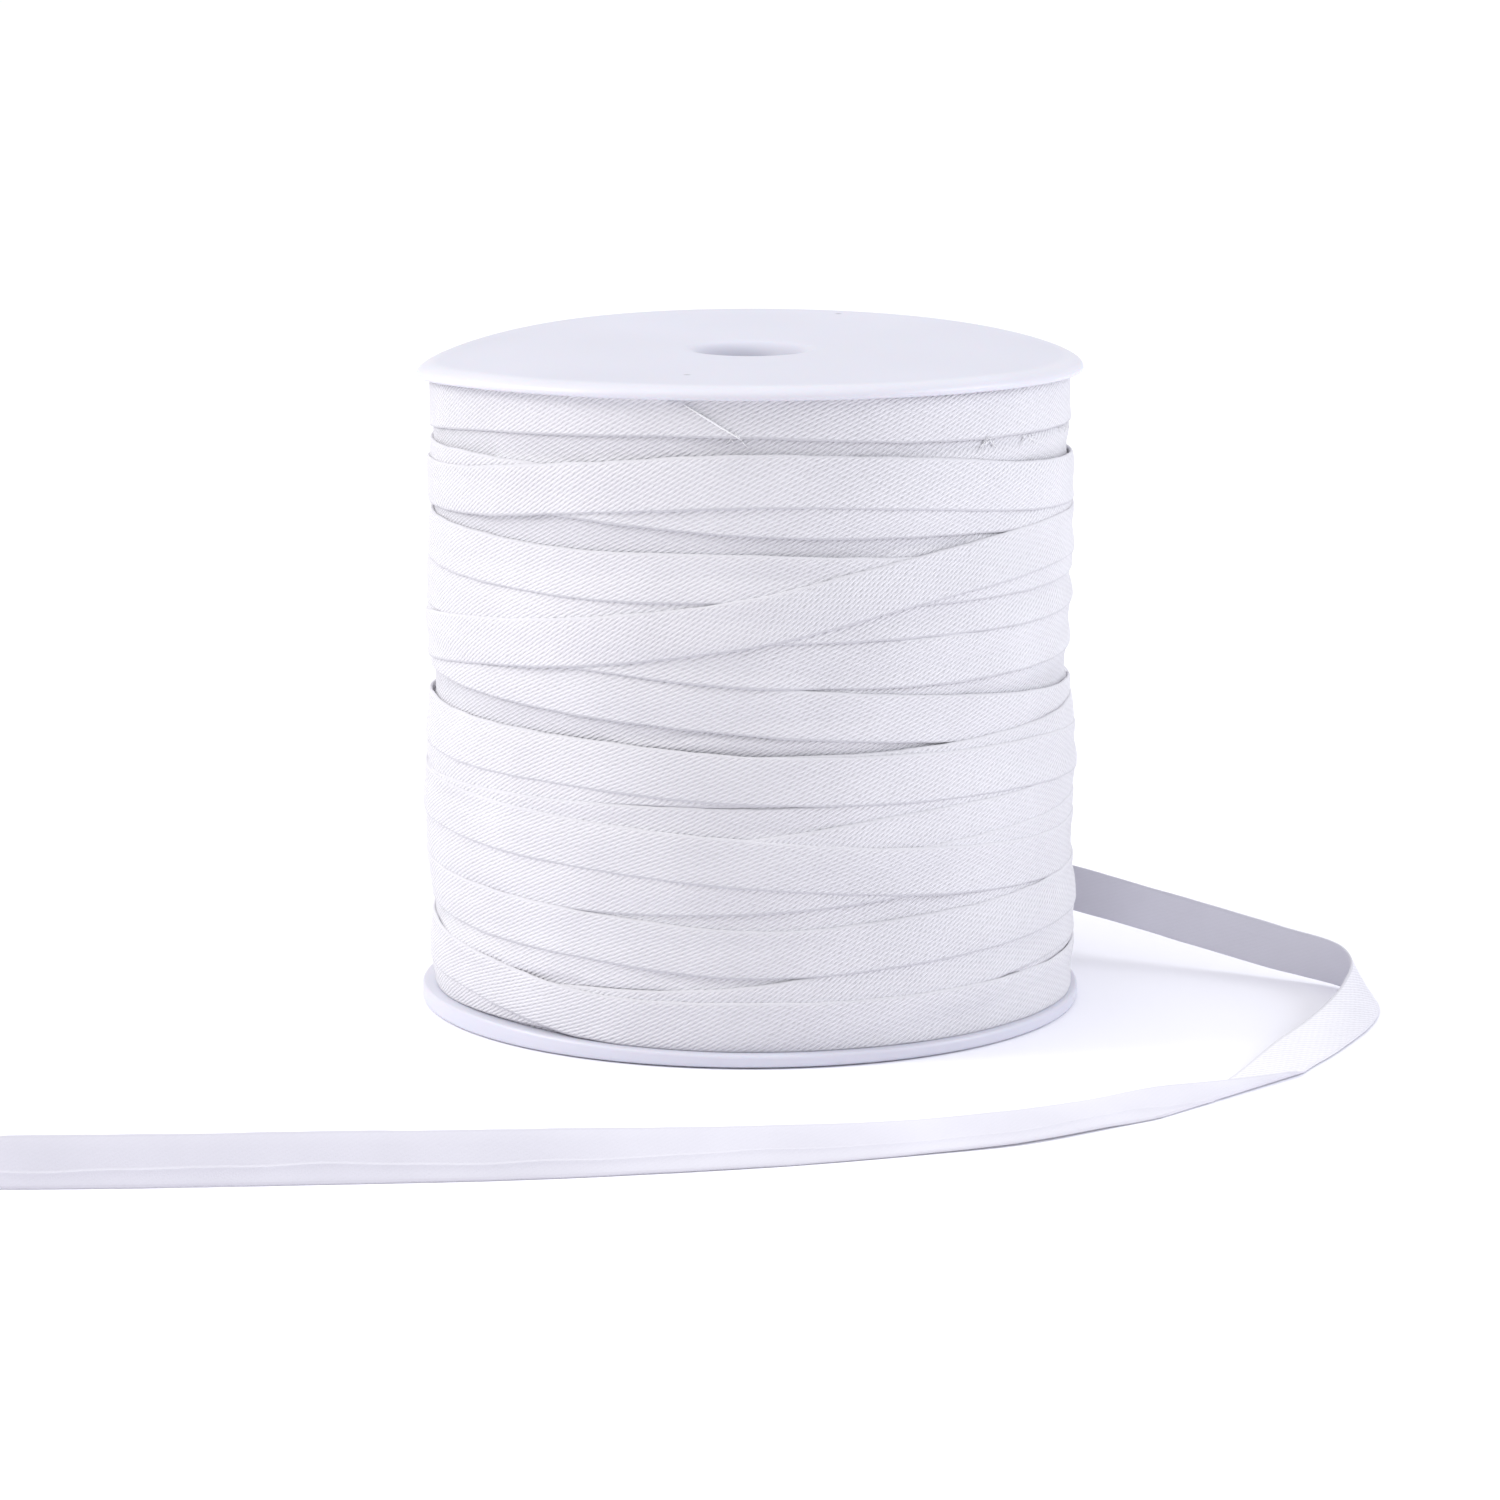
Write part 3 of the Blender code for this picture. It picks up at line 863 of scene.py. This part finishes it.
def across(heading, stands):
    """The direction from the tape's lower edge to its upper one, leaning to the right of its heading."""
    flat = Vector((heading[1], -heading[0], 0.0)).normalized()
    return flat * math.cos(math.radians(stands)) + Vector((0, 0, math.sin(math.radians(stands))))


def lowest(stands):
    """How low the tape's middle may lie at its lower edge, for its thickness to clear the surface."""
    return LOOSE_THICK / 2 * math.cos(math.radians(stands)) + FLOOR_CLEAR


def rows_of(stations):
    """Each station as x, y, the height of the tape's middle at its lower edge, and its stand."""
    return [(at.x, at.y, at.lift + lowest(at.stands), at.stands) for at in stations]


def sections_along(rows, steps, lead_in=0, lead_out=0):
    """The tape's lower and upper edge at even steps along a smooth curve through the rows.

    The first and last rows that only lead the curve in or out are left off it.
    """
    rows = np.array(rows)
    lengths = np.linalg.norm(np.diff(rows[:, :3], axis=0), axis=1)
    knots = np.concatenate([[0.0], np.cumsum(lengths)])
    start, end = knots[lead_in], knots[len(knots) - 1 - lead_out]
    at = np.linspace(start, end, steps + 1)
    path = smooth(at, knots, rows)
    onward = smooth(at + 0.05, knots, rows) - smooth(at - 0.05, knots, rows)
    made = []
    for (x, y, z, stands), heading in zip(path, onward[:, :2]):
        edge = Vector((x, y, max(z, lowest(stands))))
        made.append((edge, edge + across(heading, stands) * TAPE_WIDE))
    return made


def bow(run):
    """How far the fold's line bows outwards, by the distance along it."""
    return BOW * math.exp(-((run - BOW_AT) / BOW_WIDE) ** 2)


def let_down(run):
    """How far the folded tape sinks to the surface again past the fold's end."""
    share = min(max((run - LET_DOWN_FROM) / LET_DOWN_OVER, 0.0), 1.0)
    return LET_DOWN * share * share * (3 - 2 * share)


def folded(along, wide):
    """Where a point of the flat tape lies once the tape is folded over the slanting line.

    along counts from the place where the lower edge meets the line, and wide from that edge.
    """
    skew = math.radians(FOLD_SKEW)
    heading = math.radians(FOLD_HEADING)
    line = Vector((math.cos(heading), math.sin(heading), 0.0))
    inward = across(line, FOLD_TILT)
    normal = inward.cross(line)
    start = Vector((FOLD_START.x, FOLD_START.y, FOLD_START.lift + LOOSE_THICK / 2))
    run = along * math.cos(skew) + wide * math.sin(skew)
    place = start + line * run + Vector((-line.y, line.x, 0.0)) * bow(run)
    beyond = along * math.sin(skew) - wide * math.cos(skew)
    if beyond <= 0:
        place -= inward * beyond
        place.z += min(along, 0.0) * math.sin(skew) * inward.z * (1.0 - wide / TAPE_WIDE)
    else:
        bent = min(beyond / BEND_R, math.pi)
        place += normal * (BEND_R * (1 - math.cos(bent))) - inward * (BEND_R * math.sin(bent))
        place += inward * max(beyond - math.pi * BEND_R, 0.0)
    place.z = max(place.z - let_down(run), LOOSE_THICK / 2 + FLOOR_CLEAR)
    return place


def stand_at(along):
    """How far the tape stands up, in degrees, just before the fold."""
    rise = folded(along, TAPE_WIDE).z - folded(along, 0.0).z
    return math.degrees(math.asin(rise / TAPE_WIDE))


def fold_reach():
    """How far along the tape the fold's line runs, and the length of tape that goes round its bend."""
    skew = math.radians(FOLD_SKEW)
    return TAPE_WIDE / math.tan(skew), math.pi * BEND_R / math.sin(skew)


def fold_alongs():
    """How far along the tape its lower and upper edge are, on lines that swing round to the fold's line."""
    reach, bend = fold_reach()
    beyond = reach + bend + FAN
    stages = (
        ((-FAN, -FAN), (0.0, reach), FAN_STEPS),
        ((0.0, reach), (bend, reach + bend), BEND_STEPS),
        ((bend, reach + bend), (beyond, beyond), FAN_STEPS),
    )
    made = [(-FAN, -FAN)]
    for first, last, steps in stages:
        for share in np.linspace(0.0, 1.0, steps + 1)[1:]:
            made.append(tuple(a + (b - a) * share for a, b in zip(first, last)))
    return made


def loose_sections(radius):
    """The loose tape's two edges at each section, and how far along the tape each edge is there."""
    azimuth = math.radians(LEAVES_AT)
    leaves = (radius * math.sin(azimuth), -radius * math.cos(azimuth), LEAVES_Z - TAPE_WIDE / 2, 90.0)
    beyond = sum(fold_reach()) + FAN
    before = [leaves] + rows_of(BEFORE_FOLD) + [(*folded(a, 0.0), stand_at(a)) for a in (-FAN, 0.0)]
    after = [(*folded(a, TAPE_WIDE), FOLD_TILT) for a in (beyond - FAN, beyond)] + rows_of(AFTER_FOLD)
    alongs = fold_alongs()
    before = sections_along(before, STEPS_BEFORE, lead_out=1)[:-1]
    after = [(upper, lower) for lower, upper in sections_along(after, STEPS_AFTER, lead_in=1)[1:]]
    through = [(folded(lower, 0.0), folded(upper, TAPE_WIDE)) for lower, upper in alongs]
    sections = np.array([[tuple(near), tuple(far)] for near, far in before + through + after])
    middle = sections.mean(axis=1)
    steps = np.linalg.norm(np.diff(middle, axis=0), axis=1)
    to_fold = -FAN - np.cumsum(steps[:len(before)][::-1])[::-1]
    from_fold = beyond + np.cumsum(steps[-len(after):])
    alongs = np.concatenate([np.repeat(to_fold[:, None], 2, 1), alongs, np.repeat(from_fold[:, None], 2, 1)])
    return sections, alongs - alongs[0, 0]


def loose_section(half, crease, open_share):
    """The loose tape's section, with the two folded-in edges meeting at a crease on its wrong side."""
    places, depths = edge_places(half, LOOSE_THICK, LOOSE_ROUND)
    face = np.linspace(-half + EDGE_ROUND, half - EDGE_ROUND, FACE_PLACES + 2)[1:-1]
    wrong = crease - np.array(FLAP_PLACES)
    middle = [(wrong[-1] - half + EDGE_ROUND) / 2]
    far = [(wrong[0] + half - EDGE_ROUND) / 2]
    across_it = np.concatenate([face, places, far, wrong, middle, -places[::-1]])
    flap = LOOSE_THICK + np.array(FLAP_DEPTHS) * open_share
    depth = np.concatenate([np.zeros(len(face)), depths, [LOOSE_THICK], flap, [LOOSE_THICK], depths[::-1]])
    return across_it, depth


def loose_end(radius, wound_length, finish):
    """The tape from the roll, round its turn and its fold, to its cut end in front."""
    sections, alongs = loose_sections(radius - LOOSE_THICK / 2)
    near, far = sections[:, 0], sections[:, 1]
    middle = sections.mean(axis=1)
    run = np.concatenate([[0.0], np.cumsum(np.linalg.norm(np.diff(middle, axis=0), axis=1))])
    near_step, far_step = np.gradient(near, axis=0), np.gradient(far, axis=0)
    points, places, wrong_sides = [], [], []
    for k, at in enumerate(run):
        half = TAPE_WIDE / 2 + 0.05 * wander(at, 29.0, 2.0)
        crease = 1.0 + 0.28 * wander(at, 55.0, 4.0)
        open_share = np.clip((at - CREASE_OPENS) / 25.0, 0.06, 1.0)
        across_it, depth = loose_section(half, crease, open_share)
        share = (across_it / TAPE_WIDE + 0.5)[:, None]
        base = near[k] + (far[k] - near[k]) * share
        onward = near_step[k] + (far_step[k] - near_step[k]) * share
        wrong = np.cross(onward, far[k] - near[k])
        wrong /= np.linalg.norm(wrong, axis=1)[:, None]
        points.append(base + wrong * (depth[:, None] - LOOSE_THICK / 2))
        on_tape = alongs[k, 0] + (alongs[k, 1] - alongs[k, 0]) * share[:, 0]
        places.append(np.stack([wound_length + on_tape, -across_it], axis=-1))
        wrong_sides.append(depth > LOOSE_THICK / 2)
    points, places = np.array(points), np.array(places)
    faces = closed_faces(len(points), points.shape[1])
    made = mesh_object("loose_tape", points.reshape(-1, 3), faces, finish, places.reshape(-1, 2))
    marks = made.data.attributes.new(WRONG_SIDE, "FLOAT", "POINT")
    marks.data.foreach_set("value", np.ravel(wrong_sides).astype(np.float32))
    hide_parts("loose_end")
    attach(made, BODY)
    return made


def main():
    look_from_the_photo()
    studio()
    tape = cotton("bias_cotton", (0.93, 0.92, 0.96, 1), (0.62, 0.61, 0.65, 1), 0.00006)
    spool(moulded_plastic())
    radius, wound_length = winding(tape)
    loose_end(radius, wound_length, tape)


main()
